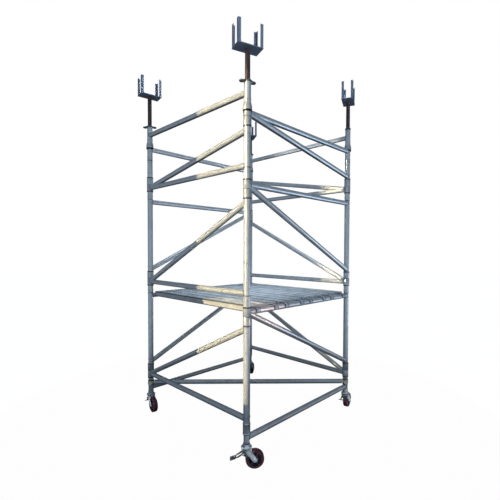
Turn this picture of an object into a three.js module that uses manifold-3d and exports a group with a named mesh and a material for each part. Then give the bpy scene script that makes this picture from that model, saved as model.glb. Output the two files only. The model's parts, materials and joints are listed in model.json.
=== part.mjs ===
// Mobile tower scaffold: four round standards built up from stacked triangular welded frames,
// a plank deck, a plan brace, four jack spindles with fork heads and four braked casters.
// Millimetres, +Z up, origin on the floor under the middle of the whole object's box.
import * as THREE from "three";
import { mergeVertices } from "three/addons/utils/BufferGeometryUtils.js";
import Module from "manifold-3d";

const wasm = await Module();
wasm.setup();

// ---- driving dimensions ----
const TOWER_WIDTH = 1500; // between standard axes, both ways
const MODULE = 1000; // height of one full frame
const TOP_MODULE = 558; // height of the short top frame
const BASE_LEDGER_Z = 247; // lowest ledger axis above the floor
const STAGGER = 148; // the left-front and right-back ledgers sit this much higher
const RISE = 720; // height that a full frame's diagonal climbs
const TOP_RISE = 272;

const POST_R = 27;
const POST_BORE = 24;
const RAIL_R = 24.15;
const RAIL_BORE = 21;
const SLEEVE_R = 32;
const SLEEVE_BORE = 28;
const SLEEVE_NEAR = 42; // sleeve length past the ledger axis, away from the diagonal
const SLEEVE_FAR = 113; // sleeve length past the ledger axis, on the diagonal's side
const POST_GAP = 1; // half the gap between two stacked posts, inside a sleeve
const SIDES = 10; // facets round a tube
const BORE_SIDES = 8;

const POST_TOP = 2786 + BASE_LEDGER_Z;
const STUB_BOTTOM = 179; // lower end of the posts, just over the caster plates
const STUB_R = 24.15;
const STUB_BORE = 19.5;
const COLLAR_R = 32;
const COLLAR = [2602, 2676]; // above the base ledger

const PLANK_COUNT = 4;
const PLANK_WIDTH = 350;
const PLANK_GAP = 9;
const PLANK_HEIGHT = 52;
const PLANK_SKIN = 3;
const PLANK_END_CLEARANCE = 32; // plank end to ledger axis
const PLANK_OVER_LEDGER = 43; // plank top above the ledger axis
const HOOK_WIDTH = 50;
const HOOK_SPREAD = 110;

const BRACE_Z = 55 + BASE_LEDGER_Z;
const COUPLER_HEIGHT = 56;
const COUPLER_R = 35;
const LUG_REACH = 84;
const LUG_THICKNESS = 12;

const SPINDLE_R = 19;
const SPINDLE_LENGTH = 560;
const NUT_HEIGHT = 38;
const NUT_R = 30;
const NUT_BORE = 20.5;
const NUT_SPAN = 68;

const HEAD_LENGTH = 216;
const HEAD_WIDTH = 123;
const HEAD_PLATE = 8;
const PRONG_TOP = 186; // above the plate's underside
const PRONG_LEG = 28;
const PRONG_SKIN = 4.5;

const WHEEL_R = 75;
const WHEEL_WIDTH = 46;
const CORE_R = 58;
const HUB_BORE = 7;
const WHEEL_SIDES = 20;
const TRAIL = 66;
const FORK_INSIDE = 27.5;
const FORK_SKIN = 5;
const CROWN_Z = 152;
const RACE_Z = 164; // top of the fork's turning ring
const PLATE_TOP = 176;
const PLATE_R = 44;
const PIVOT = [-27, 128]; // brake pedal pivot in the fork's own plane

const HALF = TOWER_WIDTH / 2;
const CORNERS = {
  near: { x: -HALF, y: -HALF, headZ: 3038, headYaw: -18.8, nutYaw: -20, casterYaw: -40, pedal: -5 },
  right: { x: HALF, y: -HALF, headZ: 3082, headYaw: 24.8, nutYaw: 35, casterYaw: 12, pedal: 26 },
  left: { x: -HALF, y: HALF, headZ: 3110, headYaw: -8.9, nutYaw: -42, casterYaw: 262, pedal: -18 },
  far: { x: HALF, y: HALF, headZ: 3025, headYaw: 58.9, nutYaw: 70, casterYaw: 28, pedal: 26 },
};

const galvanised = new THREE.MeshStandardMaterial({ color: 0x9aa6b0, metalness: 0.75, roughness: 0.45 });
const deckSteel = new THREE.MeshStandardMaterial({ color: 0x7d8c97, metalness: 0.7, roughness: 0.5 });
const threadSteel = new THREE.MeshStandardMaterial({ color: 0x5b4347, metalness: 0.6, roughness: 0.6 });
const headSteel = new THREE.MeshStandardMaterial({ color: 0x39475a, metalness: 0.6, roughness: 0.5 });
const zincPlate = new THREE.MeshStandardMaterial({ color: 0xb9ad86, metalness: 0.8, roughness: 0.35 });
const casterSteel = new THREE.MeshStandardMaterial({ color: 0x8fa0ac, metalness: 0.8, roughness: 0.35 });
const treadRubber = new THREE.MeshStandardMaterial({ color: 0x5c2a40, metalness: 0, roughness: 0.6 });
const castIron = new THREE.MeshStandardMaterial({ color: 0x1d1f26, metalness: 0.4, roughness: 0.6 });

const rad = THREE.MathUtils.degToRad;
const at = (corner, z) => new THREE.Vector3(corner.x, corner.y, z);

// ---- solids ----
function solid(geometry) {
  const bare = geometry.clone();
  bare.deleteAttribute("normal");
  bare.deleteAttribute("uv");
  const merged = mergeVertices(bare, 1e-4);
  const mesh = new wasm.Mesh({
    numProp: 3,
    vertProperties: merged.getAttribute("position").array,
    triVerts: new Uint32Array(merged.index.array),
  });
  return new wasm.Manifold(mesh);
}

function union(parts) {
  return parts.reduce((whole, part) => whole.add(part));
}

function cut(body, holes) {
  return holes.reduce((rest, hole) => rest.subtract(hole), body);
}

// A round bar between two points.
function bar(from, to, radius, sides = SIDES) {
  const along = to.clone().sub(from);
  const geometry = new THREE.CylinderGeometry(radius, radius, along.length(), sides);
  geometry.rotateX(Math.PI / 2);
  const turn = new THREE.Quaternion().setFromUnitVectors(
    new THREE.Vector3(0, 0, 1),
    along.clone().normalize(),
  );
  geometry.applyQuaternion(turn);
  const middle = from.clone().add(to).multiplyScalar(0.5);
  geometry.translate(middle.x, middle.y, middle.z);
  return solid(geometry);
}

function upright(x, y, z0, z1, radius, sides = SIDES) {
  return bar(new THREE.Vector3(x, y, z0), new THREE.Vector3(x, y, z1), radius, sides);
}

function block(x0, x1, y0, y1, z0, z1) {
  const geometry = new THREE.BoxGeometry(x1 - x0, y1 - y0, z1 - z0);
  geometry.translate((x0 + x1) / 2, (y0 + y1) / 2, (z0 + z1) / 2);
  return solid(geometry);
}

// A flat outline in the XZ plane, given a thickness along Y from y0 to y1.
function sheetXZ(shape, y0, y1) {
  const geometry = new THREE.ExtrudeGeometry(shape, { depth: y1 - y0, bevelEnabled: false, curveSegments: 3 });
  geometry.rotateX(Math.PI / 2);
  geometry.translate(0, y1, 0);
  return solid(geometry);
}

// A flat outline in the XY plane, given a thickness along Z from z0 to z1.
function sheetXY(shape, z0, z1) {
  const geometry = new THREE.ExtrudeGeometry(shape, { depth: z1 - z0, bevelEnabled: false, curveSegments: 3 });
  geometry.translate(0, 0, z0);
  return solid(geometry);
}

// A body of revolution about Z from [radius, z] points that close on themselves or the axis.
function turned(points, sides) {
  const profile = points.map(([r, z]) => new THREE.Vector2(r, z));
  const geometry = new THREE.LatheGeometry(profile, sides);
  geometry.rotateX(Math.PI / 2);
  const made = solid(geometry);
  if (made.volume() > 0) return made;
  const reversed = new THREE.LatheGeometry(profile.reverse(), sides);
  reversed.rotateX(Math.PI / 2);
  return solid(reversed);
}

const tower = new THREE.Group();

function addMesh(group, name, made, material) {
  const data = made.getMesh();
  const indexed = new THREE.BufferGeometry();
  indexed.setAttribute("position", new THREE.BufferAttribute(data.vertProperties, 3));
  indexed.setIndex(new THREE.BufferAttribute(data.triVerts, 1));
  const geometry = indexed.toNonIndexed();
  geometry.computeVertexNormals();
  const mesh = new THREE.Mesh(geometry, material);
  mesh.name = name;
  group.add(mesh);
}

// ---- welded frames ----
// A frame has a post on one standard, a sleeve on the next, a ledger and, where rise isn't 0,
// a diagonal from the sleeve to the post. A positive rise climbs and a negative one falls.
function weldedFrame(name, post, apex, ledgerZ, rise, hasDiagonal, postSpan) {
  const climbs = Math.sign(rise);
  const sleeveEnds = [ledgerZ - climbs * SLEEVE_NEAR, ledgerZ + climbs * SLEEVE_FAR].sort((a, b) => a - b);
  const ledger = [at(post, ledgerZ), at(apex, ledgerZ)];
  const diagonal = [at(post, ledgerZ + rise), at(apex, ledgerZ)];
  const outside = [
    upright(post.x, post.y, ...postSpan, POST_R),
    upright(apex.x, apex.y, ...sleeveEnds, SLEEVE_R),
    bar(...ledger, RAIL_R),
  ];
  const inside = [
    bar(...ledger, RAIL_BORE, BORE_SIDES),
    upright(post.x, post.y, postSpan[0] - 1, postSpan[1] + 1, POST_BORE, BORE_SIDES),
    upright(apex.x, apex.y, sleeveEnds[0] - 1, sleeveEnds[1] + 1, SLEEVE_BORE),
  ];
  if (hasDiagonal) {
    outside.push(bar(...diagonal, RAIL_R));
    inside.push(bar(...diagonal, RAIL_BORE, BORE_SIDES));
  }
  addMesh(tower, name, cut(union(outside), inside), galvanised);
}

const lowerLedgers = [1, 2].map((level) => BASE_LEDGER_Z + level * MODULE);
lowerLedgers.push(BASE_LEDGER_Z + 2 * MODULE + TOP_MODULE);
const upperLedgers = [0, 1, 2].map((level) => BASE_LEDGER_Z + STAGGER + level * MODULE);
const LEVELS = ["low", "mid", "top"];
const SLEEVE_MIDDLE = (SLEEVE_FAR - SLEEVE_NEAR) / 2;

// Frames whose diagonal climbs to a post on the near or the far standard.
function climbingFrames(side, post, apex) {
  const joints = lowerLedgers.map((z) => z - SLEEVE_MIDDLE);
  upperLedgers.forEach((ledgerZ, level) => {
    const bottom = level === 0 ? BASE_LEDGER_Z + 45 : joints[level - 1] + POST_GAP;
    const span = [bottom, joints[level] - POST_GAP];
    const rise = level === 2 ? TOP_RISE : RISE;
    weldedFrame(`${side}_frame_${LEVELS[level]}`, post, apex, ledgerZ, rise, true, span);
  });
}

// Frames whose diagonal falls to a post on the right or the left standard.
function fallingFrames(side, post, apex, topHasDiagonal) {
  const joints = upperLedgers.map((z) => z + SLEEVE_MIDDLE);
  lowerLedgers.forEach((ledgerZ, level) => {
    const top = level === 2 ? BASE_LEDGER_Z + COLLAR[0] + 36 : joints[level + 1] - POST_GAP;
    const span = [joints[level] + POST_GAP, top];
    const drop = level === 2 ? -TOP_RISE : -RISE;
    weldedFrame(`${side}_frame_${LEVELS[level]}`, post, apex, ledgerZ, drop, level < 2 || topHasDiagonal, span);
  });
}

// The ledger that closes the top of a climbing side: a stub post and a collar at each end.
function topRail(name, near, apex) {
  const railZ = upperLedgers[2] + TOP_MODULE;
  const [collarLow, collarHigh] = COLLAR.map((z) => z + BASE_LEDGER_Z);
  const nearBottom = lowerLedgers[2] - SLEEVE_MIDDLE + POST_GAP;
  const ledger = [at(near, railZ), at(apex, railZ)];
  const outside = [
    upright(near.x, near.y, nearBottom, POST_TOP, POST_R),
    upright(near.x, near.y, collarLow, collarHigh, COLLAR_R),
    upright(apex.x, apex.y, collarLow + 38, POST_TOP, POST_R),
    upright(apex.x, apex.y, collarLow, collarHigh, COLLAR_R),
    bar(...ledger, RAIL_R),
  ];
  const inside = [
    bar(...ledger, RAIL_BORE, BORE_SIDES),
    upright(near.x, near.y, nearBottom - 1, POST_TOP + 1, POST_BORE, BORE_SIDES),
    upright(apex.x, apex.y, collarLow - 1, POST_TOP + 1, POST_BORE, BORE_SIDES),
    upright(apex.x, apex.y, collarLow - 1, collarLow + 38, SLEEVE_BORE),
  ];
  addMesh(tower, name, cut(union(outside), inside), galvanised);
}

// The ledger that closes the bottom of a falling side, with the stub posts that take the casters.
function baseRail(name, post, apex) {
  const ledger = [at(post, BASE_LEDGER_Z), at(apex, BASE_LEDGER_Z)];
  const postTop = upperLedgers[0] + SLEEVE_MIDDLE - POST_GAP;
  const apexTop = BASE_LEDGER_Z + 43;
  const outside = [
    upright(post.x, post.y, STUB_BOTTOM, postTop, POST_R),
    upright(apex.x, apex.y, STUB_BOTTOM, apexTop, STUB_R),
    bar(...ledger, RAIL_R),
  ];
  const inside = [
    bar(...ledger, STUB_BORE, BORE_SIDES),
    upright(post.x, post.y, STUB_BOTTOM - 1, postTop + 1, POST_BORE, BORE_SIDES),
    upright(apex.x, apex.y, STUB_BOTTOM - 1, apexTop + 1, STUB_BORE),
  ];
  addMesh(tower, name, cut(union(outside), inside), galvanised);
}

// ---- deck ----
function plank(index) {
  const pitch = PLANK_WIDTH + PLANK_GAP;
  const centreX = (index - (PLANK_COUNT - 1) / 2) * pitch;
  const ledgerZ = lowerLedgers[0];
  const top = ledgerZ + PLANK_OVER_LEDGER;
  const endY = HALF - PLANK_END_CLEARANCE;
  const x0 = centreX - PLANK_WIDTH / 2;
  const x1 = centreX + PLANK_WIDTH / 2;
  const tray = cut(block(x0, x1, -endY, endY, top - PLANK_HEIGHT, top), [
    block(x0 + PLANK_SKIN, x1 - PLANK_SKIN, -endY + PLANK_SKIN, endY - PLANK_SKIN, top - 99, top - PLANK_SKIN),
  ]);
  const hooks = [];
  const seat = ledgerZ + RAIL_R + 0.5;
  for (const end of [-1, 1]) {
    for (const shift of [-HOOK_SPREAD, HOOK_SPREAD]) {
      const hx0 = centreX + shift - HOOK_WIDTH / 2;
      const hx1 = hx0 + HOOK_WIDTH;
      const reach = [end * (endY - 1), end * (HALF + RAIL_R + 7)].sort((a, b) => a - b);
      const nose = [end * (HALF + RAIL_R + 1), end * (HALF + RAIL_R + 7)].sort((a, b) => a - b);
      hooks.push(block(hx0, hx1, ...reach, seat, seat + 7));
      hooks.push(block(hx0, hx1, ...nose, ledgerZ - 6, seat + 7));
    }
  }
  addMesh(tower, `deck_plank_${index + 1}`, union([tray, ...hooks]), deckSteel);
}

// ---- plan brace ----
function braceLug(corner, towards) {
  const along = new THREE.Vector3(towards.x - corner.x, towards.y - corner.y, 0).normalize();
  const lug = block(0, LUG_REACH, -LUG_THICKNESS / 2, LUG_THICKNESS / 2, -18, 18);
  const turn = (Math.atan2(along.y, along.x) * 180) / Math.PI;
  return lug.rotate([0, 0, turn]).translate([corner.x, corner.y, BRACE_Z]);
}

function coupler(name, corner, towards) {
  const low = BRACE_Z - COUPLER_HEIGHT / 2;
  const high = BRACE_Z + COUPLER_HEIGHT / 2;
  const body = union([upright(corner.x, corner.y, low, high, COUPLER_R), braceLug(corner, towards)]);
  const bore = upright(corner.x, corner.y, low - 1, high + 1, POST_R + 0.8);
  addMesh(tower, name, cut(body, [bore]), zincPlate);
}

function planBrace(from, to) {
  const along = at(to, BRACE_Z).sub(at(from, BRACE_Z)).normalize();
  const start = at(from, BRACE_Z).addScaledVector(along, COUPLER_R + 12);
  const end = at(to, BRACE_Z).addScaledVector(along, -COUPLER_R - 12);
  const bore = bar(start.clone().sub(along), end.clone().add(along), RAIL_BORE, BORE_SIDES);
  const tube = cut(bar(start, end, RAIL_R), [bore]);
  addMesh(tower, "plan_brace", tube, galvanised);
}

// ---- screw jacks ----
function spindle(name, corner) {
  const top = corner.headZ + BASE_LEDGER_Z - 0.5;
  const rod = upright(corner.x, corner.y, top - SPINDLE_LENGTH, top, SPINDLE_R);
  addMesh(tower, name, rod, threadSteel);
}

function nutLoop() {
  const loop = new THREE.Shape();
  loop.moveTo(0, -15);
  loop.lineTo(50, -15);
  loop.absarc(NUT_SPAN - 15, 0, 15, -Math.PI / 2, Math.PI / 2, false);
  loop.lineTo(0, 15);
  const eye = new THREE.Path();
  eye.absarc(NUT_SPAN - 17, 0, 8, 0, 2 * Math.PI, true);
  loop.holes.push(eye);
  return loop;
}

function wingNut(name, corner) {
  const low = 0.6;
  const cone = turned([[0, low], [NUT_R, low], [NUT_R, 18], [NUT_R - 6, NUT_HEIGHT], [0, NUT_HEIGHT]], SIDES);
  const wings = [0, 180].map((turn) => sheetXY(nutLoop(), 6, 15).rotate([0, 0, turn]));
  const bore = upright(0, 0, -1, NUT_HEIGHT + 1, NUT_BORE);
  const made = cut(union([cone, ...wings]), [bore]);
  const group = new THREE.Group();
  group.position.set(corner.x, corner.y, POST_TOP);
  group.rotation.z = rad(corner.nutYaw);
  addMesh(group, name, made, headSteel);
  tower.add(group);
}

function prong(signX, signY) {
  const leg = new THREE.Shape();
  const outer = [[0, 0], [PRONG_LEG, 0], [PRONG_LEG, PRONG_SKIN], [PRONG_SKIN, PRONG_SKIN]];
  outer.push([PRONG_SKIN, PRONG_LEG], [0, PRONG_LEG]);
  outer.forEach(([x, y], i) => (i ? leg.lineTo(x, y) : leg.moveTo(x, y)));
  const angle = { "-1-1": 0, "1-1": 90, "11": 180, "-11": 270 }[`${signX}${signY}`];
  const inset = 2;
  return sheetXY(leg, HEAD_PLATE - 1, PRONG_TOP)
    .rotate([0, 0, angle])
    .translate([signX * (HEAD_LENGTH / 2 - inset), signY * (HEAD_WIDTH / 2 - inset), 0]);
}

function forkHead(name, corner) {
  const plate = block(-HEAD_LENGTH / 2, HEAD_LENGTH / 2, -HEAD_WIDTH / 2, HEAD_WIDTH / 2, 0, HEAD_PLATE);
  const prongs = [];
  for (const sx of [-1, 1]) for (const sy of [-1, 1]) prongs.push(prong(sx, sy));
  const group = new THREE.Group();
  group.position.set(corner.x, corner.y, corner.headZ + BASE_LEDGER_Z);
  group.rotation.z = rad(corner.headYaw);
  addMesh(group, name, union([plate, ...prongs]), headSteel);
  tower.add(group);
}

// ---- casters: the swivel axis is the group's Z axis and the wheel trails along +X ----
function casterStem() {
  const nut = upright(0, 0, CROWN_Z - 11, CROWN_Z - 1, 11, 6);
  return union([
    upright(0, 0, PLATE_TOP - 1, PLATE_TOP + 165, 17.5),
    upright(0, 0, PLATE_TOP - 8, PLATE_TOP, PLATE_R, 16),
    upright(0, 0, RACE_Z + 1, PLATE_TOP - 7, 33),
    upright(0, 0, CROWN_Z - 5, RACE_Z + 2, 6, BORE_SIDES),
    nut,
  ]);
}

function forkLeg() {
  const leg = new THREE.Shape();
  leg.moveTo(4, CROWN_Z + 8);
  leg.lineTo(0, 141);
  leg.absarc(PIVOT[0], PIVOT[1], 11, rad(85), rad(250), false);
  leg.lineTo(-6, 100);
  leg.lineTo(22, 98);
  leg.absarc(TRAIL, WHEEL_R, 17, rad(208), rad(390), false);
  leg.lineTo(50, CROWN_Z + 8);
  return leg;
}

function casterFork() {
  const outer = FORK_INSIDE + FORK_SKIN;
  const legs = [-1, 1].map((side) => {
    const span = [side * FORK_INSIDE, side * outer].sort((a, b) => a - b);
    return sheetXZ(forkLeg(), ...span);
  });
  const crown = block(-40, 40, -outer, outer, CROWN_Z, CROWN_Z + 8);
  const race = upright(0, 0, CROWN_Z + 7, RACE_Z, 38);
  const across = (x, z, radius) =>
    bar(new THREE.Vector3(x, -50, z), new THREE.Vector3(x, 50, z), radius, BORE_SIDES);
  return cut(union([...legs, crown, race]), [
    upright(0, 0, 100, 180, 8, BORE_SIDES),
    across(TRAIL, WHEEL_R, 7),
    across(...PIVOT, 5),
  ]);
}

// Half a facet's turn puts a flat, not an edge, on the floor.
function wheelRing(points) {
  const ring = turned(points, WHEEL_SIDES).rotate([0, 0, 180 / WHEEL_SIDES]);
  return ring.rotate([90, 0, 0]).translate([TRAIL, 0, WHEEL_R]);
}

function casterTread() {
  const half = WHEEL_WIDTH / 2;
  const outer = WHEEL_R / Math.cos(Math.PI / WHEEL_SIDES);
  return wheelRing([
    [CORE_R + 0.4, -half],
    [outer - 5, -half],
    [outer, -half + 8],
    [outer, half - 8],
    [outer - 5, half],
    [CORE_R + 0.4, half],
    [CORE_R + 0.4, -half],
  ]);
}

function casterCore() {
  const half = WHEEL_WIDTH / 2 - 2;
  const hub = WHEEL_WIDTH / 2 + 3;
  return wheelRing([
    [HUB_BORE, -hub],
    [17, -hub],
    [17, -9],
    [CORE_R - 7, -half],
    [CORE_R, -half],
    [CORE_R, half],
    [CORE_R - 7, half],
    [17, 9],
    [17, hub],
    [HUB_BORE, hub],
    [HUB_BORE, -hub],
  ]);
}

function casterAxle() {
  const along = (y0, y1, radius, sides) =>
    bar(new THREE.Vector3(TRAIL, y0, WHEEL_R), new THREE.Vector3(TRAIL, y1, WHEEL_R), radius, sides);
  const face = FORK_INSIDE + FORK_SKIN + 0.5;
  return union([
    along(-face - 4, face + 4, 6, BORE_SIDES),
    along(-face - 8, -face, 11, 6),
    along(face, face + 8, 11, 6),
  ]);
}

// The brake pedal turns about a pin held in the fork's front lobes.
function brakePedal() {
  const arm = new THREE.Shape();
  arm.moveTo(10, 4);
  arm.absarc(0, 0, 11, rad(20), rad(150), false);
  arm.lineTo(-66, -26);
  arm.lineTo(-108, -34);
  arm.lineTo(-108, -39);
  arm.lineTo(-64, -33);
  arm.lineTo(-8, -10);
  arm.absarc(0, 0, 11, rad(240), rad(360), false);
  const arms = [-1, 1].map((side) => {
    const span = [side * 18, side * 23].sort((a, b) => a - b);
    return sheetXZ(arm, ...span);
  });
  const tread = new THREE.Shape();
  tread.moveTo(-60, -27);
  tread.lineTo(-108, -34);
  tread.lineTo(-108, -39);
  tread.lineTo(-60, -32);
  const pin = bar(new THREE.Vector3(0, -36, 0), new THREE.Vector3(0, 36, 0), 4, 6);
  const boss = bar(new THREE.Vector3(0, -20, 0), new THREE.Vector3(0, 20, 0), 8, 6);
  return union([...arms, sheetXZ(tread, -26, 26), pin, boss]);
}

function caster(label, corner) {
  const stem = new THREE.Group();
  stem.position.set(corner.x, corner.y, 0);
  addMesh(stem, `${label}_caster_stem`, casterStem(), casterSteel);
  const swivel = new THREE.Group();
  swivel.rotation.z = rad(corner.casterYaw);
  addMesh(swivel, `${label}_caster_fork`, casterFork(), casterSteel);
  addMesh(swivel, `${label}_caster_axle`, casterAxle(), casterSteel);
  addMesh(swivel, `${label}_wheel_tread`, casterTread(), treadRubber);
  addMesh(swivel, `${label}_wheel_core`, casterCore(), castIron);
  const lever = new THREE.Group();
  lever.position.set(PIVOT[0], 0, PIVOT[1]);
  lever.rotation.y = rad(corner.pedal);
  addMesh(lever, `${label}_brake_pedal`, brakePedal(), castIron);
  swivel.add(lever);
  stem.add(swivel);
  tower.add(stem);
}

// ---- assembly ----
const { near, right, left, far } = CORNERS;
climbingFrames("left_front", near, left);
climbingFrames("right_back", far, right);
fallingFrames("right_front", right, near, true);
fallingFrames("left_back", left, far, false);
topRail("left_front_top_rail", near, left);
topRail("right_back_top_rail", far, right);
baseRail("right_front_base_rail", right, near);
baseRail("left_back_base_rail", left, far);
for (let index = 0; index < PLANK_COUNT; index++) plank(index);
coupler("left_brace_coupler", left, right);
coupler("right_brace_coupler", right, left);
planBrace(left, right);
for (const [label, corner] of Object.entries(CORNERS)) {
  spindle(`${label}_spindle`, corner);
  wingNut(`${label}_wing_nut`, corner);
  forkHead(`${label}_fork_head`, corner);
  caster(label, corner);
}

// The origin goes under the middle of the whole object's box.
tower.updateMatrixWorld(true);
const extent = new THREE.Box3().setFromObject(tower, true);
tower.position.set(-(extent.min.x + extent.max.x) / 2, -(extent.min.y + extent.max.y) / 2, 0);

export default tower;
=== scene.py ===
"""A mobile tower scaffold: the looks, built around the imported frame. Metres, +Z up."""

import json
import math

import bmesh
import bpy
from mathutils import Matrix, Vector

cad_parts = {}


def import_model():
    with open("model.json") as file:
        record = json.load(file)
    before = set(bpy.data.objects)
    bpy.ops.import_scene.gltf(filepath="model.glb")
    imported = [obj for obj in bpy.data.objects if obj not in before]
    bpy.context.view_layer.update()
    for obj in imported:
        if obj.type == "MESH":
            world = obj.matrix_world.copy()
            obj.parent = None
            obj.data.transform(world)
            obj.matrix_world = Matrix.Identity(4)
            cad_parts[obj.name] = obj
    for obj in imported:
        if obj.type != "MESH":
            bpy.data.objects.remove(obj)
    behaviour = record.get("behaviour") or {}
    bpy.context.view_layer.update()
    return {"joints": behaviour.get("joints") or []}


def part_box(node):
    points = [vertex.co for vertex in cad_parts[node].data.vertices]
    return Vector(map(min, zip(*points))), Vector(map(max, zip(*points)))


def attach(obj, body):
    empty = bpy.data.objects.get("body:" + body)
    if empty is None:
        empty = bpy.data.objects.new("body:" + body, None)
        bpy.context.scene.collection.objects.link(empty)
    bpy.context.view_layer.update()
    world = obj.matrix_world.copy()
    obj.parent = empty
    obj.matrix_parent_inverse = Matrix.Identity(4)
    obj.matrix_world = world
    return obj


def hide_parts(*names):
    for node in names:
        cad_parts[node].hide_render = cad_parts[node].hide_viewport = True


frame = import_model()

# ---- driving dimensions ----
MODULE = 1.0
TOP_MODULE = 0.558
BASE_LEDGER_Z = 0.247
STAGGER = 0.148
RISE = 0.720
TOP_RISE = 0.272
POST_R = 0.027
POST_WALL = 0.003
RAIL_R = 0.02415
SLEEVE_R = 0.0320
SLEEVE_BORE = 0.0280
SLEEVE_NEAR = 0.042
SLEEVE_FAR = 0.113
SLEEVE_MIDDLE = (SLEEVE_FAR - SLEEVE_NEAR) / 2
POST_GAP = 0.001
POST_TOP = BASE_LEDGER_Z + 2.786
STUB_BOTTOM = 0.179
STUB_RING_Z = 0.204
FOOT_R = 0.0300
COLLAR = (BASE_LEDGER_Z + 2.558, BASE_LEDGER_Z + 2.636)
COLLAR_R = 0.0362
LIP = 0.008
SPIGOT = 0.154

BRACE_Z = BASE_LEDGER_Z + 0.055
COUPLER_R = 0.0300
BRACE_START = 0.047
COUPLER_HEIGHT = 0.056

THREAD_R = 0.021
THREAD_DEPTH = 0.0022
THREAD_PITCH = 0.008
THREAD_STEPS = 20

HEAD_LENGTH = 0.216
HEAD_WIDTH = 0.123
HEAD_PLATE = 0.008
PRONG_LEG = 0.024
PRONG_SKIN = 0.0045
PRONG_TOP = 0.186
PRONG_WELD = 0.028
PRONG_INSET = 0.002

WHEEL_R = 0.075
WHEEL_HALF = 0.023
WHEEL_SIDES = 56
CORE_R = 0.058
TRAIL = 0.066
FORK_INSIDE = 0.0275
FORK_SKIN = 0.005
CROWN_Z = 0.152
RACE_Z = 0.164
PLATE_TOP = 0.176
PLATE_R = 0.044
PIVOT = (-0.027, 0.128)

HEAD_YAW = {"near": -18.8, "right": 24.8, "left": -8.9, "far": 58.9}
NUT_YAW = {"near": -20, "right": 35, "left": -42, "far": 70}
PEDAL_LIFT = {"near": -5, "right": 26, "left": -18, "far": 26}
CORNER_NAMES = ("near", "right", "left", "far")
LEVELS = ("low", "mid", "top")

ROUND = 32
UP = Vector((0, 0, 1))


def corner_axis(name):
    low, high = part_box(name + "_spindle")
    return Vector(((low.x + high.x) / 2, (low.y + high.y) / 2, 0))


def caster_yaw(name):
    spin = next(j for j in frame["joints"] if j["name"] == name + "_wheel_spin")
    return math.atan2(-spin["axis"][0], spin["axis"][1])


AXIS = {name: corner_axis(name) for name in CORNER_NAMES}


# ---- solids ----
class Solid:
    """Points and faces of one piece, gathered before its mesh is made."""

    def __init__(self):
        self.points = []
        self.faces = []
        self.grime = []

    def add(self, points, faces, place=Matrix.Identity(4), grime=0.0):
        """The last argument says how dark each point is, from 0 to 1, for dark welds, darker edges and
        painted shade: one number for all of them, or a list.
        """
        start = len(self.points)
        self.points += [place @ Vector(p) for p in points]
        self.faces += [tuple(start + i for i in face) for face in faces]
        self.grime += grime if isinstance(grime, list) else [grime] * len(points)

    def join(self, other, place):
        self.add(other.points, other.faces, place, other.grime)


def skin(rings, loop=False):
    """Points and faces of a surface through rings of equal length, capped unless they loop."""
    sides = len(rings[0])
    count = len(rings)
    points = [p for ring in rings for p in ring]
    faces = []
    for i in range(count if loop else count - 1):
        low = i * sides
        high = ((i + 1) % count) * sides
        for j in range(sides):
            k = (j + 1) % sides
            faces.append((low + j, low + k, high + k, high + j))
    if not loop:
        faces.append(tuple(reversed(range(sides))))
        faces.append(tuple(range((count - 1) * sides, count * sides)))
    return points, faces


def basis(direction):
    along = direction.normalized()
    side = along.orthogonal().normalized()
    return side, along.cross(side), along


def posed(spot, degrees, axis="Z"):
    """Turned round one of its own axes, then moved to a spot."""
    return Matrix.Translation(spot) @ Matrix.Rotation(math.radians(degrees), 4, axis)


def placed(shape, place):
    """A copy of a shape, moved to its place on the tower."""
    solid = Solid()
    solid.join(shape, place)
    return solid


def circle(centre, u, v, radius, sides):
    turns = [i * 2 * math.pi / sides for i in range(sides)]
    return [centre + u * (radius * math.cos(a)) + v * (radius * math.sin(a)) for a in turns]


def turned(solid, profile, centre, axis=UP, hollow=False, sides=ROUND):
    """A body of revolution from rows of radius, height and, where it is painted dark as shade, how dark it
    is.

    A hollow one's profile closes on itself.
    """
    u, v, w = basis(axis)
    rings = [circle(centre + w * row[1], u, v, row[0], sides) for row in profile]
    grime = [row[2] if len(row) > 2 else 0.0 for row in profile for _ in range(sides)]
    points, faces = skin(rings, loop=hollow)
    solid.add(points, faces, grime=grime)


def pipe(solid, start, end, outer, inner):
    """A tube with its outer rims taken off."""
    length = (end - start).length
    chamfer = 0.0006
    profile = [
        (inner, 0),
        (outer - chamfer, 0),
        (outer, chamfer),
        (outer, length - chamfer),
        (outer - chamfer, length),
        (inner, length),
    ]
    turned(solid, profile, start, end - start, hollow=True)


def rod(solid, start, end, radius, chamfer=0.0006, sides=ROUND):
    length = (end - start).length
    profile = [(radius - chamfer, 0), (radius, chamfer)]
    profile += [(radius, length - chamfer), (radius - chamfer, length)]
    turned(solid, profile, start, end - start, sides=sides)


def swept(solid, path, radii, sides=8, loop=False, grime=0.0):
    """A round bar along a path of points, with one radius for each."""
    count = len(path)
    rings = []
    side = None
    for i, point in enumerate(path):
        before = path[i - 1] if loop or i else path[i]
        after = path[(i + 1) % count] if loop or i < count - 1 else path[i]
        along = (after - before).normalized()
        if side is None:
            side = along.orthogonal()
        side = (side - along * side.dot(along)).normalized()
        rings.append(circle(point, side, along.cross(side), radii[i], sides))
    points, faces = skin(rings, loop)
    solid.add(points, faces, grime=grime)


def arc(centre, radius, start, end, steps):
    """Points of an arc in a plane, with angles in degrees."""
    angles = [math.radians(start + (end - start) * i / steps) for i in range(steps + 1)]
    return [(centre[0] + radius * math.cos(a), centre[1] + radius * math.sin(a)) for a in angles]


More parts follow.
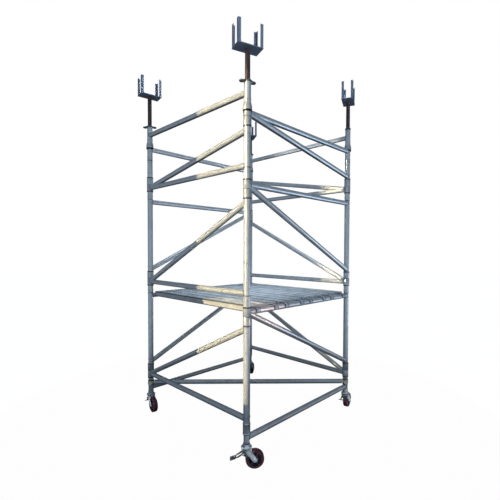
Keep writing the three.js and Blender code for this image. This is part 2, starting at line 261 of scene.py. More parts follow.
def plate(solid, outline, low, high, place=Matrix.Identity(4), chamfer=0.0008, grime=0.0):
    """An outline in the XY plane as a plate from low to high, with its rims taken off."""
    following = outline[1:] + outline[:1]
    area = sum(p[0] * q[1] - q[0] * p[1] for p, q in zip(outline, following))
    side = 1 if area > 0 else -1
    inner = []
    for before, point, after in zip(outline[-1:] + outline[:-1], outline, following):
        along = (Vector(after) - Vector(before)).normalized()
        inner.append(Vector(point) + Vector((-along.y, along.x)) * (side * chamfer))
    rings = [
        [(p[0], p[1], low) for p in inner],
        [(p[0], p[1], low + chamfer) for p in outline],
        [(p[0], p[1], high - chamfer) for p in outline],
        [(p[0], p[1], high) for p in inner],
    ]
    solid.add(*skin(rings), place, grime)


def box_outline(x0, x1, y0, y1, corner=0.0, steps=3):
    if corner <= 0:
        return [(x0, y0), (x1, y0), (x1, y1), (x0, y1)]
    spots = [(x1 - corner, y0 + corner, -90), (x1 - corner, y1 - corner, 0)]
    spots += [(x0 + corner, y1 - corner, 90), (x0 + corner, y0 + corner, 180)]
    return [p for x, y, a in spots for p in arc((x, y), corner, a, a + 90, steps)]


def hexagon(solid, centre, axis, across, height):
    """A bolt head or nut: a six-sided prism with its corners rounded off on top."""
    u, v, w = basis(axis)
    outer = across / math.sqrt(3)
    profile = ((outer, 0), (outer, height * 0.8), (outer * 0.86, height))
    solid.add(*skin([circle(centre + w * h, u, v, r, 6) for r, h in profile]))


def bolt(solid, start, end, across, shank):
    """A bolt with its head at start, its nut at end and a washer under each."""
    along = (end - start).normalized()
    washer = across * 0.62
    rod(solid, start - along * 0.002, end + along * 0.006, shank, sides=12)
    turned(solid, [(washer, 0), (washer, 0.0016)], start - along * 0.0016, along, sides=20)
    turned(solid, [(washer, 0), (washer, 0.0016)], end, along, sides=20)
    hexagon(solid, start - along * 0.0016, -along, across, 0.0062)
    hexagon(solid, end + along * 0.0016, along, across, 0.0072)


# ---- pieces ----
def piece(name, solid, material, body, node, bevel=0.0):
    """A piece that rides on a body and takes the place of a node."""
    mesh = bpy.data.meshes.new(name)
    mesh.from_pydata([tuple(p) for p in solid.points], [], solid.faces)
    mesh.attributes.new("grime", "FLOAT", "POINT").data.foreach_set("value", solid.grime)
    work = bmesh.new()
    work.from_mesh(mesh)
    bmesh.ops.remove_doubles(work, verts=work.verts, dist=1e-6)
    bmesh.ops.recalc_face_normals(work, faces=work.faces)
    work.to_mesh(mesh)
    work.free()
    mesh.materials.append(material)
    mesh.shade_smooth()
    mesh.set_sharp_from_angle(angle=math.radians(38))
    made = bpy.data.objects.new(name, mesh)
    bpy.context.scene.collection.objects.link(made)
    if bevel:
        edge = made.modifiers.new("edge", "BEVEL")
        edge.width = bevel
        edge.segments = 2
        edge.limit_method = "ANGLE"
        edge.angle_limit = math.radians(40)
    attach(made, body)
    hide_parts(node)


# ---- materials ----
class Nodes:
    """Short calls for the shader nodes that the materials share."""

    def __init__(self, name):
        self.material = bpy.data.materials.new(name)
        self.material.use_nodes = True
        self.tree = self.material.node_tree
        self.shader = self.tree.nodes["Principled BSDF"]
        self.place = self.tree.nodes.new("ShaderNodeTexCoord").outputs["Object"]

    def link(self, source, target):
        self.tree.links.new(source, target)

    def stretched(self, scale):
        node = self.tree.nodes.new("ShaderNodeMapping")
        node.inputs["Scale"].default_value = scale
        self.link(self.place, node.inputs["Vector"])
        return node.outputs["Vector"]

    def noise(self, scale, detail=4.0, roughness=0.55, where=None):
        node = self.tree.nodes.new("ShaderNodeTexNoise")
        node.inputs["Scale"].default_value = scale
        node.inputs["Detail"].default_value = detail
        node.inputs["Roughness"].default_value = roughness
        self.link(where or self.place, node.inputs["Vector"])
        return node.outputs["Fac"]

    def cells(self, scale):
        node = self.tree.nodes.new("ShaderNodeTexVoronoi")
        node.inputs["Scale"].default_value = scale
        self.link(self.place, node.inputs["Vector"])
        return node.outputs["Color"]

    def ramp(self, value, *stops):
        node = self.tree.nodes.new("ShaderNodeValToRGB")
        self.link(value, node.inputs["Fac"])
        spots = node.color_ramp.elements
        while len(spots) < len(stops):
            spots.new(0.5)
        for spot, (position, colour) in zip(spots, stops):
            spot.position = position
            spot.color = (*colour, 1)
        return node.outputs["Color"]

    def grey(self, value, *stops):
        return self.ramp(value, *[(position, (level, level, level)) for position, level in stops])

    def mix(self, factor, first, second, kind="MIX"):
        node = self.tree.nodes.new("ShaderNodeMix")
        node.data_type = "RGBA"
        node.blend_type = kind
        for key, value in ((0, factor), (6, first), (7, second)):
            if isinstance(value, bpy.types.NodeSocket):
                self.link(value, node.inputs[key])
            elif key == 0:
                node.inputs[key].default_value = value
            else:
                node.inputs[key].default_value = (*value, 1)
        return node.outputs[2]

    def edges(self):
        """Light where the surface bends outward: worn edges, and on the heads painted highlights."""
        node = self.tree.nodes.new("ShaderNodeNewGeometry")
        return self.grey(node.outputs["Pointiness"], (0.5, 0.0), (0.58, 1.0))

    def darkened_by_grime_and_shade(self, colour, dirt_and_shade):
        """The colour darkened over the marked points: dark welds, and painted shade."""
        node = self.tree.nodes.new("ShaderNodeAttribute")
        node.attribute_name = "grime"
        return self.mix(node.outputs["Fac"], colour, dirt_and_shade)

    def bump(self, height, strength, distance):
        node = self.tree.nodes.new("ShaderNodeBump")
        node.inputs["Strength"].default_value = strength
        node.inputs["Distance"].default_value = distance
        self.link(height, node.inputs["Height"])
        self.link(node.outputs["Normal"], self.shader.inputs["Normal"])

    def finish(self, colour, roughness, metallic):
        self.link(colour, self.shader.inputs["Base Color"])
        self.link(roughness, self.shader.inputs["Roughness"])
        self.shader.inputs["Metallic"].default_value = metallic
        return self.material


def scaled(colour, factor):
    return tuple(min(1, c * factor) for c in colour)


def zinc(name, colour, metallic, rough, spangle=0.16, dirt_and_shade=0.5, cloudy=0.28):
    """Galvanised steel: crystal spangle, cloudy oxide, run-down streaks, dirty patches, and painted shade
    over the marked points.
    """
    n = Nodes(name)
    dark, pale = scaled(colour, 1 - cloudy), scaled(colour, 1 + cloudy)
    body = n.ramp(n.noise(9, 5, 0.6), (0.3, dark), (0.55, colour), (0.75, pale))
    crystals = n.grey(n.cells(75), (0.0, 1 - spangle), (1.0, 1 + spangle))
    body = n.mix(1.0, body, crystals, "MULTIPLY")
    streaks = n.grey(n.noise(1, 6, 0.65, n.stretched((55, 55, 3.5))), (0.52, 0.0), (0.72, 1.0))
    body = n.mix(n.grey(streaks, (0, 0), (1, 0.35 * dirt_and_shade + 0.1)), body, scaled(colour, 0.42))
    grime = n.grey(n.noise(22, 7, 0.7), (0.56, 0.0), (0.7, dirt_and_shade))
    body = n.mix(grime, body, (0.16, 0.15, 0.13))
    body = n.mix(n.grey(n.edges(), (0, 0), (1, 0.45)), body, scaled(colour, 1.7))
    # The marked points go almost black: painted shade, and dark welds.
    body = n.darkened_by_grime_and_shade(body, (0.012, 0.013, 0.016))
    roughness = n.grey(n.noise(30, 4), (0.3, rough[0]), (0.7, rough[1]))
    n.bump(n.mix(0.35, n.noise(420, 3), n.cells(75)), 0.16, 0.0006)
    return n.finish(body, roughness, metallic)


def rusty_thread():
    n = Nodes("thread_steel")
    dark, middle, pale = (0.014, 0.009, 0.020), (0.05, 0.021, 0.046), (0.14, 0.058, 0.098)
    body = n.ramp(n.noise(60, 6, 0.7), (0.3, dark), (0.5, middle), (0.7, pale))
    grease = n.grey(n.noise(1, 4, 0.6, n.stretched((18, 18, 9))), (0.45, 0.0), (0.62, 0.85))
    body = n.mix(grease, body, (0.022, 0.018, 0.030))
    body = n.mix(n.grey(n.edges(), (0, 0), (1, 0.35)), body, (0.42, 0.33, 0.30))
    roughness = n.grey(n.noise(80, 3), (0.3, 0.4), (0.7, 0.75))
    n.bump(n.noise(700, 3), 0.2, 0.0005)
    return n.finish(body, roughness, 0.55)


def dark_steel(name, colour, edge, metallic, rough=(0.38, 0.6)):
    n = Nodes(name)
    dark, pale = scaled(colour, 0.7), scaled(colour, 1.6)
    body = n.ramp(n.noise(35, 6, 0.65), (0.3, dark), (0.6, colour), (0.8, pale))
    scuffs = n.grey(n.noise(1, 5, 0.7, n.stretched((90, 30, 160))), (0.6, 0.0), (0.72, 0.5))
    body = n.mix(scuffs, body, scaled(colour, 2.6))
    body = n.mix(n.grey(n.edges(), (0, 0), (1, 0.7)), body, edge)
    roughness = n.grey(n.noise(50, 4), (0.3, rough[0]), (0.7, rough[1]))
    n.bump(n.noise(500, 4), 0.2, 0.0005)
    return n.finish(body, roughness, metallic)


def tread_material():
    n = Nodes("tread")
    dark, middle, pale = (0.055, 0.012, 0.024), (0.11, 0.022, 0.042), (0.17, 0.040, 0.065)
    body = n.ramp(n.noise(40, 5), (0.3, dark), (0.6, middle), (0.8, pale))
    dust = n.grey(n.noise(120, 6, 0.7), (0.55, 0.0), (0.75, 0.5))
    body = n.mix(dust, body, (0.12, 0.07, 0.08))
    roughness = n.grey(n.noise(60, 3), (0.3, 0.42), (0.7, 0.65))
    n.bump(n.noise(300, 4), 0.25, 0.0006)
    return n.finish(body, roughness, 0.0)


def dull_black(name, rough, glow=0.0):
    """The stage's black, which can glow evenly by itself."""
    n = Nodes(name)
    body = n.grey(n.noise(0.8, 3), (0.3, 0.02), (0.7, 0.03))
    n.shader.inputs["Emission Color"].default_value = (1, 1, 1, 1)
    n.shader.inputs["Emission Strength"].default_value = glow
    return n.finish(body, n.grey(n.noise(2), (0.3, rough[0]), (0.7, rough[1])), 0.0)


GALVANISED = zinc("galvanised", (0.52, 0.56, 0.60), 0.45, (0.26, 0.42))
DECK = zinc("deck_steel", (0.66, 0.77, 0.90), 0.15, (0.5, 0.75), dirt_and_shade=0.8, cloudy=0.5)
THREAD = rusty_thread()
NUT = dark_steel("nut_steel", (0.035, 0.038, 0.042), (0.20, 0.22, 0.24), 0.4)
# Galvanised steel given a dark navy colour as painted shade, with pale blue edges as painted highlights.
HEAD = dark_steel("head_steel", (0.008, 0.018, 0.062), (0.30, 0.37, 0.48), 0.3, (0.5, 0.7))
COUPLER = zinc("coupler_zinc", (0.98, 0.88, 0.62), 0.2, (0.5, 0.7), dirt_and_shade=0.3)
CASTER = zinc("caster_zinc", (0.70, 0.79, 0.86), 0.55, (0.32, 0.5), spangle=0.05, dirt_and_shade=0.35)
TREAD = tread_material()
CORE = dark_steel("wheel_core", (0.02, 0.02, 0.025), (0.12, 0.12, 0.13), 0.3)
PEDAL = dark_steel("pedal", (0.04, 0.045, 0.055), (0.4, 0.42, 0.45), 0.5)


# ---- welded frames ----
def at(corner, height):
    return Vector((AXIS[corner].x, AXIS[corner].y, height))


def entering(point, direction, axis, radius):
    """Where a line from point, heading for a vertical axis, meets the cylinder round it."""
    away = Vector((point.x - axis.x, point.y - axis.y))
    flat = Vector((direction.x, direction.y))
    a = flat.length_squared
    b = 2 * away.dot(flat)
    c = away.length_squared - radius * radius
    return point + direction * ((-b - math.sqrt(max(0.0, b * b - 4 * a * c))) / (2 * a))


BEAD_R = 0.0034
BEAD_POINTS = 40
BEAD_RIPPLES = 10


def weld(solid, middle, direction, radius, axis, wall):
    """A rippled bead where a round bar meets a vertical tube."""
    u, v, _ = basis(direction)
    ring = circle(middle, u, v, radius, BEAD_POINTS)
    path = [entering(p, direction, axis, wall) for p in ring]
    ripples = [i * 2 * math.pi * BEAD_RIPPLES / BEAD_POINTS for i in range(BEAD_POINTS)]
    radii = [BEAD_R * (1 + 0.16 * math.sin(a)) for a in ripples]
    swept(solid, path, radii, sides=6, loop=True, grime=0.75)


def welded_bar(solid, first, last, first_wall, last_wall):
    """A round bar between two standards, with ends that hug their tubes and painted shade along its
    underside.
    """
    direction = (last - first).normalized()
    middle = (first + last) / 2
    u, v, _ = basis(direction)
    rings = [circle(middle, u, v, radius, ROUND) for radius in (0.001, 0.6 * RAIL_R, RAIL_R)]
    sunk = 0.0008
    start = [[entering(p, -direction, first, first_wall - sunk) for p in ring] for ring in rings]
    end = [[entering(p, direction, last, last_wall - sunk) for p in ring] for ring in reversed(rings)]
    # The lowest band all along the bar is painted dark as shade.
    downward = [(middle.z - p.z) / RAIL_R for p in rings[-1]]
    grime = [0.85 * min(1.0, max(0.0, (down - 0.74) / 0.16)) for down in downward]
    unshaded = [0.0] * (2 * ROUND)
    points, faces = skin(start + end)
    solid.add(points, faces, grime=unshaded + grime * 2 + unshaded)
    weld(solid, middle, -direction, RAIL_R, first, first_wall)
    weld(solid, middle, direction, RAIL_R, last, last_wall)


def sleeve(solid, corner, low, high):
    """A socket over the post ends, with a lip at each end and a groove round its middle, both painted dark as
    shade.
    """
    outer, lip = SLEEVE_R, SLEEVE_R + 0.0012
    middle = (low + high) / 2
    dark = 0.9
    profile = [
        (SLEEVE_BORE, low, dark),
        (lip - 0.001, low, dark),
        (lip, low + 0.001, dark),
        (lip, low + LIP, dark),
        (outer, low + LIP + 0.0015, dark),
        (outer, low + LIP + 0.0025),
        (outer, middle - 0.003),
        (outer - 0.0009, middle - 0.0015, 0.6),
        (outer - 0.0009, middle + 0.0015, 0.6),
        (outer, middle + 0.003),
        (outer, high - LIP - 0.0025),
        (outer, high - LIP - 0.0015, dark),
        (lip, high - LIP, dark),
        (lip, high - 0.001, dark),
        (lip - 0.001, high, dark),
        (SLEEVE_BORE, high, dark),
    ]
    turned(solid, profile, at(corner, 0), hollow=True)


def stop_ring(solid, corner, height):
    """The crimped ring that shows how far a post is filled by the spigot inside it, painted dark as shade."""
    dark_ring(solid, at(corner, height), POST_R, 0.0011, 0.0035)


def dark_ring(solid, centre, radius, proud, half):
    """A narrow ring round a tube, proud of it by a little, painted dark all over as shade."""
    outer, inner = radius + proud, radius - 0.001
    profile = [(inner, -half), (outer, 0.001 - half), (outer, half - 0.001), (inner, half)]
    turned(solid, [(r, z, 1) for r, z in profile], centre, hollow=True)


def pins(solid, corner, height, wall):
    """The domed heads of two locking pins that cross inside a tube, one head at each end of each pin."""
    dome = [(0.0075, -0.002), (0.0075, 0.0005), (0.0062, 0.0022), (0.0035, 0.0034), (0.0008, 0.0038)]
    for turn in (45, 135, 225, 315):
        way = Vector((math.cos(math.radians(turn)), math.sin(math.radians(turn)), 0))
        turned(solid, dome, at(corner, height) + way * wall, way, sides=16)


def foot_sleeve(solid, corner, low, high, dirt_and_shade):
    """A short thicker length at a standard's foot, with how dark each row of it is as painted shade."""
    profile = [
        (POST_R - 0.001, low),
        (FOOT_R, low),
        (FOOT_R, high - 0.010),
        (FOOT_R + 0.0018, high - 0.009),
        (FOOT_R + 0.0018, high - 0.006),
        (POST_R - 0.001, high),
    ]
    rows = [(radius, height, dark) for (radius, height), dark in zip(profile, dirt_and_shade)]
    turned(solid, rows, at(corner, 0), hollow=True)


def welded_frame(name, post, apex, ledger_z, rise, span, has_diagonal=True):
    """One side's triangle: a post over its span of heights, a sleeve, a ledger and a diagonal."""
    climbs = 1 if rise > 0 else -1
    low, high = sorted((ledger_z - climbs * SLEEVE_NEAR, ledger_z + climbs * SLEEVE_FAR))
    solid = Solid()
    pipe(solid, at(post, span[0]), at(post, span[1]), POST_R, POST_R - POST_WALL)
    sleeve(solid, apex, low, high)
    welded_bar(solid, at(post, ledger_z), at(apex, ledger_z), POST_R, SLEEVE_R)
    if has_diagonal:
        low_end = at(apex, ledger_z + climbs * 0.004)
        welded_bar(solid, at(post, ledger_z + rise), low_end, POST_R, SLEEVE_R)
    if span[0] < BASE_LEDGER_Z + 0.1:
        # The foot sleeve carries faint painted shade under its lip.
        foot_sleeve(solid, post, span[0], span[0] + 0.076, (0.1, 0.0, 0.3, 0.0, 0.0, 0.0))
    else:
        stop_ring(solid, post, span[0] + 0.165 if rise > 0 else span[1] - SPIGOT)
    for height in (span[0] + 0.125, span[1] - 0.125):
        pins(solid, post, height, POST_R)
    piece(name + "_tubes", solid, GALVANISED, "tower", name)


lower = [BASE_LEDGER_Z + MODULE, BASE_LEDGER_Z + 2 * MODULE, BASE_LEDGER_Z + 2 * MODULE + TOP_MODULE]
upper = [BASE_LEDGER_Z + STAGGER + level * MODULE for level in range(3)]


def climbing_frames(side, post, apex):
    joints = [z - SLEEVE_MIDDLE for z in lower]
    for level, ledger_z in enumerate(upper):
        bottom = BASE_LEDGER_Z + 0.045 if level == 0 else joints[level - 1] + POST_GAP
        rise = TOP_RISE if level == 2 else RISE
        span = (bottom, joints[level] - POST_GAP)
        welded_frame(f"{side}_frame_{LEVELS[level]}", post, apex, ledger_z, rise, span)


def falling_frames(side, post, apex, top_has_diagonal):
    joints = [z + SLEEVE_MIDDLE for z in upper]
    for level, ledger_z in enumerate(lower):
        top = COLLAR[0] + 0.036 if level == 2 else joints[level + 1] - POST_GAP
        drop = -TOP_RISE if level == 2 else -RISE
        span = (joints[level] + POST_GAP, top)
        has_diagonal = level < 2 or top_has_diagonal
        welded_frame(f"{side}_frame_{LEVELS[level]}", post, apex, ledger_z, drop, span, has_diagonal)


def collar(solid, corner, bore):
    """The flared collar near the top of a standard, over the joint below it."""
    low, high = COLLAR
    # The lowest rows are painted dark as shade, a ring at the collar's foot.
    profile = [
        (bore, low, 1),
        (COLLAR_R - 0.001, low, 1),
        (COLLAR_R, low + 0.001, 1),
        (COLLAR_R, low + 0.014, 1),
        (COLLAR_R, low + 0.016),
        (COLLAR_R, low + 0.042),
        (COLLAR_R - 0.0015, low + 0.048),
        (POST_R + 0.0010, high - 0.002),
        (POST_R + 0.0002, high),
        (POST_R - POST_WALL, high),
        (POST_R - POST_WALL, high - 0.022),
        (bore, high - 0.025),
    ]
    turned(solid, profile, at(corner, 0), hollow=True)


def top_rail(name, near, apex):
    rail_z = upper[2] + TOP_MODULE
    near_bottom = lower[2] - SLEEVE_MIDDLE + POST_GAP
    solid = Solid()
    pipe(solid, at(near, near_bottom), at(near, POST_TOP), POST_R, POST_R - POST_WALL)
    pipe(solid, at(apex, COLLAR[1] - 0.012), at(apex, POST_TOP), POST_R, POST_R - POST_WALL)
    for corner, bore in ((near, SLEEVE_R + 0.0006), (apex, POST_R + 0.0006)):
        collar(solid, corner, bore)
        pins(solid, corner, COLLAR[1] + 0.018, POST_R)
    welded_bar(solid, at(near, rail_z), at(apex, rail_z), POST_R, POST_R)
    piece(name + "_tubes", solid, GALVANISED, "tower", name)


def base_rail(name, post, apex):
    post_top = upper[0] + SLEEVE_MIDDLE - POST_GAP
    apex_top = BASE_LEDGER_Z + 0.043
    solid = Solid()
    pipe(solid, at(post, STUB_BOTTOM), at(post, post_top), POST_R, POST_R - POST_WALL)
    pipe(solid, at(apex, STUB_BOTTOM), at(apex, apex_top), RAIL_R, RAIL_R - POST_WALL)
    welded_bar(solid, at(post, BASE_LEDGER_Z), at(apex, BASE_LEDGER_Z), POST_R, RAIL_R)
    pins(solid, post, STUB_BOTTOM + 0.022, POST_R)
    pins(solid, apex, STUB_BOTTOM + 0.016, RAIL_R)
    # A dark band of painted shade at the foot sleeve's lower end.
    foot_sleeve(solid, apex, BASE_LEDGER_Z + 0.028, apex_top, (0.9, 0.9, 0.1, 0.1, 0.1, 0.1))
    dark_ring(solid, at(apex, STUB_RING_Z), RAIL_R, 0.0018, 0.005)
    piece(name + "_tubes", solid, GALVANISED, "tower", name)


# ---- deck ----
SHEET = 0.002
PLANK_HEIGHT = 0.052
PLANK_CLEARANCE = 0.032
CELL_HALF = 0.022
HOOK_SHIFT = 0.110
HOLE_R = 0.0085
HOLE_SIDES = 12
HOLE_RIM = 0.0025
HOLE_ROWS = (-0.115, 0.0, 0.115)
HOLE_PITCH = 0.078
GROOVES = (-0.0575, 0.0575)
GROOVE_HALF = 0.010
GROOVE_DEPTH = 0.004


def perforated_cell(solid, x0, x1, y0, y1, top):
    """A stretch of sheet with one raised hole through its middle."""
    middle = Vector(((x0 + x1) / 2, (y0 + y1) / 2, 0))
    turns = [(i + 0.5) * 2 * math.pi / HOLE_SIDES for i in range(HOLE_SIDES)]
    ways = [Vector((math.cos(a), math.sin(a), 0)) for a in turns]
    edge = [0.5 / max(abs(way.x) / (x1 - x0), abs(way.y) / (y1 - y0)) for way in ways]
    swell, lip, bore = ([radius] * HOLE_SIDES for radius in (HOLE_R + 0.006, HOLE_R + 0.0015, HOLE_R))
    rows = ((edge, -SHEET), (edge, 0), (swell, 0), (lip, HOLE_RIM), (bore, HOLE_RIM), (bore, -SHEET))
    rings = []
    for reaches, height in rows:
        level = middle + UP * (top + height)
        rings.append([level + way * reach for way, reach in zip(ways, reaches)])
    solid.add(*skin(rings, loop=True))


def strip(solid, x0, x1, y0, y1, low, high, dirt_and_shade=(0.0, 0.0)):
    """A flat strip along Y, with as much painted shade on its two long edges as asked for."""
    points, faces = skin([[(x0, y, low), (x1, y, low), (x1, y, high), (x0, y, high)] for y in (y0, y1)])
    solid.add(points, faces, grime=[dirt_and_shade[0], dirt_and_shade[1], dirt_and_shade[1], dirt_and_shade[0]] * 2)


def groove(solid, centre_x, y0, y1, top):
    """A pressed channel along the sheet, painted dark all over as shade."""
    half = GROOVE_HALF
    foot, floor_z = half - 0.004, top - GROOVE_DEPTH
    over = [(-half, top), (-foot, floor_z), (foot, floor_z), (half, top)]
    section = over + [(x, z - SHEET) for x, z in reversed(over)]
    solid.add(*skin([[(centre_x + x, y, z) for x, z in section] for y in (y0, y1)]), grime=0.6)


def flange(solid, edge_x, inward, y0, y1, low, high):
    """The plank's turned-down side with a lip folded under it; its top and bottom bands and the lip are
    painted dark as shade, its middle a little.
    """
    s = SHEET
    dark, dull = 0.9, 0.4
    section = [
        (0, high, dark),
        (0, high - 0.008, dark),
        (0, high - 0.010, dull),
        (0, low + 0.008, dull),
        (0, low + 0.006, dark),
        (0, low, dark),
        (0.014, low, dark),
        (0.014, low + s, dark),
        (s, low + s, dark),
        (s, high, dark),
    ]
    points, faces = skin([[(edge_x + inward * x, y, z) for x, z, _ in section] for y in (y0, y1)])
    solid.add(points, faces, grime=[row[2] for row in section] * 2)


def hook(solid, centre_x, end, ledger):
    """A flat hook over the ledger, from the plank's end plate, darker along its edges."""
    inner, outer, half = RAIL_R + 0.0006, RAIL_R + 0.0070, 0.025
    tip = -14
    bend = arc((0, 0), outer, 100, tip, 12) + arc((0, 0), inner, tip, 100, 12)
    reach = abs(end) - abs(ledger.y)
    outline = [(reach, outer)] + bend + [(reach, inner - 0.002)]
    way = 1 if end > 0 else -1
    near_side = [(-half, 0.8), (0.007 - half, 0.8), (0.009 - half, 0.2)]
    far_side = [(-x, dark) for x, dark in reversed(near_side)]
    rings, grime = [], []
    for x, dark in near_side + far_side:
        rings.append([(centre_x + x, ledger.y + way * y, ledger.z + z) for y, z in outline])
        grime += [dark] * len(outline)
    points, faces = skin(rings)
    solid.add(points, faces, grime=grime)


def plank(index):
    """A pressed steel plank: a perforated and grooved top, folded sides, end plates and hooks."""
    node = f"deck_plank_{index}"
    low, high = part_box(node)
    x0, x1, top = low.x, high.x, high.z
    middle = (x0 + x1) / 2
    ends = [AXIS["near"].y + PLANK_CLEARANCE, AXIS["left"].y - PLANK_CLEARANCE]
    bottom = top - PLANK_HEIGHT
    solid = Solid()
    bands = [x0 - middle + SHEET]
    for centre_x in GROOVES:
        bands += [centre_x - GROOVE_HALF, centre_x + GROOVE_HALF]
        groove(solid, middle + centre_x, *ends, top)
    bands.append(x1 - middle - SHEET)
    count = round((ends[1] - ends[0]) / HOLE_PITCH)
    pitch = (ends[1] - ends[0]) / count
    for row_x, left, right in zip(HOLE_ROWS, bands[::2], bands[1::2]):
        cell = (middle + row_x - CELL_HALF, middle + row_x + CELL_HALF)
        # Painted shade darkens each strip where it meets a groove or a folded side.
        strip(solid, middle + left, cell[0], *ends, top - SHEET, top, (0.45, 0))
        strip(solid, cell[1], middle + right, *ends, top - SHEET, top, (0, 0.45))
        for i in range(count):
            y0 = ends[0] + i * pitch
            perforated_cell(solid, *cell, y0, y0 + pitch, top)
    flange(solid, x0, 1, *ends, bottom, top)
    flange(solid, x1, -1, *ends, bottom, top)
    for end, corner in zip(ends, ("near", "left")):
        way = 1 if corner == "left" else -1
        span = sorted((end - way * 0.003, end))
        strip(solid, x0 + SHEET, x1 - SHEET, *span, bottom + 0.004, top - SHEET)
        for shift in (-HOOK_SHIFT, HOOK_SHIFT):
            hook(solid, middle + shift, end - way * 0.001, at(corner, lower[0]))
    piece(f"deck_plank_{index}_sheet", solid, DECK, "tower", node)


# ---- plan brace and its couplers ----
def brace_direction(first, last):
    return (AXIS[last] - AXIS[first]).normalized()


def plan_brace(first, last):
    along = brace_direction(first, last)
    start = at(first, BRACE_Z) + along * BRACE_START
    end = at(last, BRACE_Z) - along * BRACE_START
    solid = Solid()
    pipe(solid, start, end, RAIL_R, RAIL_R - 0.0032)
    piece("plan_brace_tube", solid, GALVANISED, "tower", "plan_brace")


def coupler(name, corner, other):
    """A forged clamp: its jaws, their flanges and bolts, and the stub that the brace is welded to."""
    along = brace_direction(corner, other)
    across = UP.cross(along)
    half = COUPLER_HEIGHT / 2
    centre = at(corner, BRACE_Z)
    solid = Solid()
    bore, wall = POST_R + 0.0006, COUPLER_R
    # The jaw's top and bottom bands are painted dark as shade.
    jaw = [
        (bore, -half, 1),
        (wall - 0.002, -half, 1),
        (wall, -half + 0.002, 1),
        (wall, -half + 0.010, 1),
        (wall, -half + 0.013),
        (wall + 0.002, -0.008),
        (wall + 0.002, 0.008),
        (wall, half - 0.013),
        (wall, half - 0.010, 1),
        (wall, half - 0.002, 1),
        (wall - 0.002, half, 1),
        (bore, half, 1),
    ]
    turned(solid, jaw, centre, hollow=True)
    turn = Matrix.Translation(centre) @ Matrix((along, across, UP)).transposed().to_4x4()
    for side in (-1, 1):
        lug = box_outline(-0.012, 0.012, 0, 0.022, 0.004)
        shifted = [(x, side * (COUPLER_R - 0.003 + y)) for x, y in lug]
        plate(solid, shifted, -0.019, 0.019, turn)
        for height in (-0.009, 0.009):
            spot = centre + across * (side * (COUPLER_R + 0.009)) + UP * height
            bolt(solid, spot - along * 0.013, spot + along * 0.013, across=0.013, shank=0.004)
    plate(solid, box_outline(0.0265, 0.084, -0.006, 0.006), -0.018, 0.018, turn)
    rim = RAIL_R + 0.001
    flat = [(0.0235, 0), (rim, 0.002), (rim, 0.006), (0.0235, 0.008)]
    turned(solid, flat, centre + along * (BRACE_START - 0.009), along)
    piece(name + "_forging", solid, COUPLER, "tower", name)


# ---- screw jacks ----
def thread(solid, centre, low, high):
    """A real trapezoidal thread: its rows climb one pitch for each turn."""
    turns = int((high - low) / THREAD_PITCH) - 1
    root = THREAD_R - THREAD_DEPTH
    section = ((0.0, root), (0.36, root), (0.52, THREAD_R), (0.86, THREAD_R))
    points, faces = [], []
    steps = turns * THREAD_STEPS
    for i in range(steps + 1):
        a = i * 2 * math.pi / THREAD_STEPS
        z = low + THREAD_PITCH * i / THREAD_STEPS
        for share, radius in section:
            spot = Vector((radius * math.cos(a), radius * math.sin(a), z + share * THREAD_PITCH))
            points.append(centre + spot)
    wide = len(section)
    for i in range(steps):
        for j in range(wide - 1):
            a = i * wide + j
            faces.append((a, a + wide, a + wide + 1, a + 1))
        above = i + THREAD_STEPS
        if above < steps + 1 and above + 1 < steps + 1:
            last, following = i * wide + wide - 1, above * wide
            faces.append((last, last + wide, following + wide, following))
    solid.add(points, faces)


def spindle(corner):
    low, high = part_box(corner + "_spindle")
    centre = AXIS[corner]
    solid = Solid()
    thread(solid, centre, low.z + 0.004, high.z - 0.012)
    rod(solid, centre + UP * low.z, centre + UP * high.z, THREAD_R - THREAD_DEPTH - 0.0002, 0.002)
    rod(solid, centre + UP * (high.z - 0.022), centre + UP * high.z, THREAD_R - 0.0005)
    piece(corner + "_spindle_thread", solid, THREAD, corner + "_jack", corner + "_spindle")


def wing_nut(corner):
    """A low cast nut with two looped handles, which dip a little at their outer ends."""
    profile = [
        (0.0225, 0.0012),
        (0.0280, 0.0006),
        (0.0300, 0.0030),
        (0.0300, 0.0160),
        (0.0275, 0.0190),
        (0.0225, 0.0195),
    ]
    shape = Solid()
    turned(shape, profile, Vector((0, 0, 0)), hollow=True)
    half, rise, dip = 0.0125, 0.011, 0.008
    loop = [(0.022, -0.014), (0.040, -half - 0.002)]
    loop += arc((0.0495, 0), half + 0.0015, -90, 90, 8)
    loop += [(0.040, half + 0.002), (0.022, 0.014)]
    for way in (1, -1):
        path = [Vector((way * x, way * y, rise if x < 0.03 else rise - dip)) for x, y in loop]
        swept(shape, path, [0.0070] * len(path), sides=12)
    solid = placed(shape, posed(at(corner, POST_TOP), NUT_YAW[corner]))
    piece(corner + "_wing_nut_casting", solid, NUT, corner + "_nut", corner + "_wing_nut")


def angle_outline():
    """The L section of a prong, with its corner at the origin and a round inside."""
    leg, wall, bend = PRONG_LEG, PRONG_SKIN, 0.004
    inner = arc((wall + bend, wall + bend), bend, 270, 180, 3)
    return [(0, 0), (leg, 0), (leg, wall)] + inner + [(wall, leg), (0, leg)]


